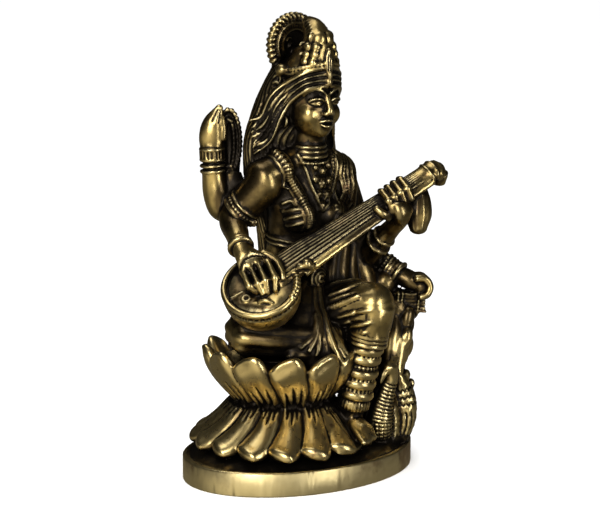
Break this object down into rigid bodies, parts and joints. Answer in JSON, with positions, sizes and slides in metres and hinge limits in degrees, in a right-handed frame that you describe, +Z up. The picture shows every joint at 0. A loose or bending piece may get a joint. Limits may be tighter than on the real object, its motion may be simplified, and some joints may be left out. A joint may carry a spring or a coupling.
{
  "type": "deity figure",
  "caption": "Cast brass figure of the goddess Saraswati with four arms, seated on a double lotus and playing a veena, with a bird at her foot, on an oval plate.",
  "frame": {"origin": "centre of the plate's flat underside", "axes": "+Z up, -Y the way the figure faces, +X towards the figure's left hand side"},
  "size_m": [0.083, 0.0616, 0.1498],
  "materials": {
    "antique_brass": "polished raised surfaces with dark brown patina in the recesses"
  },
  "bodies": {
    "root": {"saraswati_figure": "antique_brass"}
  },
  "joints": []
}
